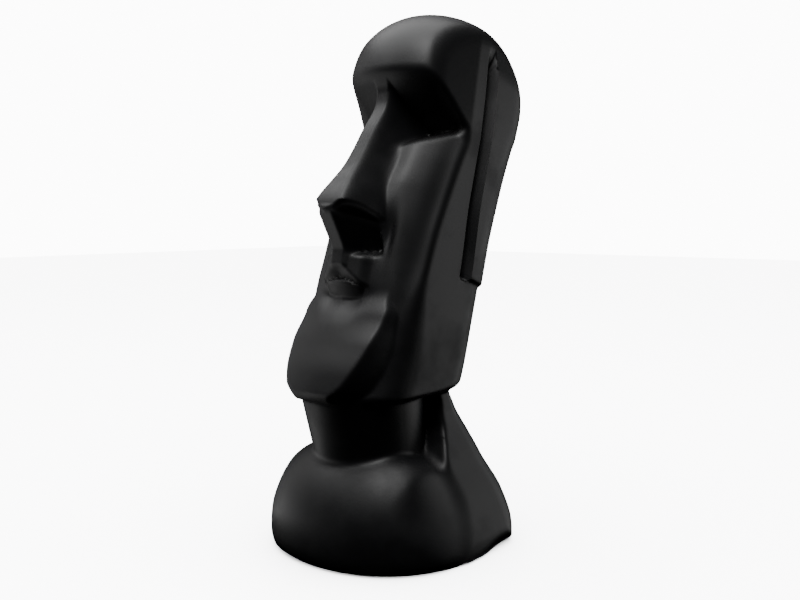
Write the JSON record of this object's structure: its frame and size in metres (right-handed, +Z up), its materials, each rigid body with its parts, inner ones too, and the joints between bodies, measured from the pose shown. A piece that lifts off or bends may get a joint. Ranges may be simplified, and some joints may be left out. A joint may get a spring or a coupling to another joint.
{
  "type": "moai head ornament",
  "caption": "Upright moai head ornament with deep eye sockets, long nose and ears, slab chin, short neck and rounded shoulders on a flat foot.",
  "frame": {"origin": "middle of the flat underside of the base", "axes": "+Z up, the face looks along -Y, the figure's own left side is +X"},
  "size_m": [0.108, 0.1385, 0.256],
  "materials": {
    "cast_body": "satin-matte black cast resin"
  },
  "bodies": {
    "root": {"moai_statue": "cast_body"}
  },
  "joints": []
}
